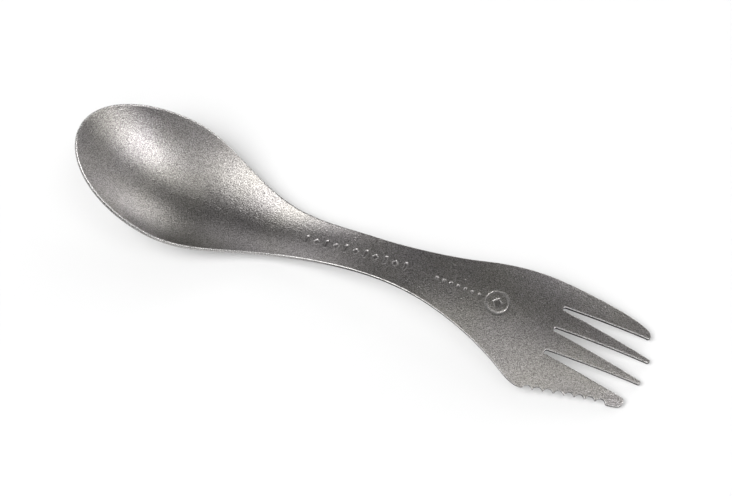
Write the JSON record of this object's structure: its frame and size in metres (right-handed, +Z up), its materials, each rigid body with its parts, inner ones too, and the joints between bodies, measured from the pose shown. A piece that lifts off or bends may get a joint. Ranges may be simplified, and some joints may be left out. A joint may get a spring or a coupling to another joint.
{
  "type": "spork",
  "caption": "One-piece sheet-metal picnic spork: a deep spoon bowl, an arched narrow handle and a tined fork with a serrated outer edge.",
  "frame": {"origin": "under the middle of the piece, on the surface it lies on", "axes": "+X from the bowl's tip towards the tine tips, +Z up out of the bowl, the serrated edge on the -Y side"},
  "size_m": [0.17, 0.0386, 0.0209],
  "materials": {
    "titanium": "bare titanium, tumbled to a fine matte grain, with brighter worn edges"
  },
  "bodies": {
    "root": {"spork": "titanium"}
  },
  "joints": []
}
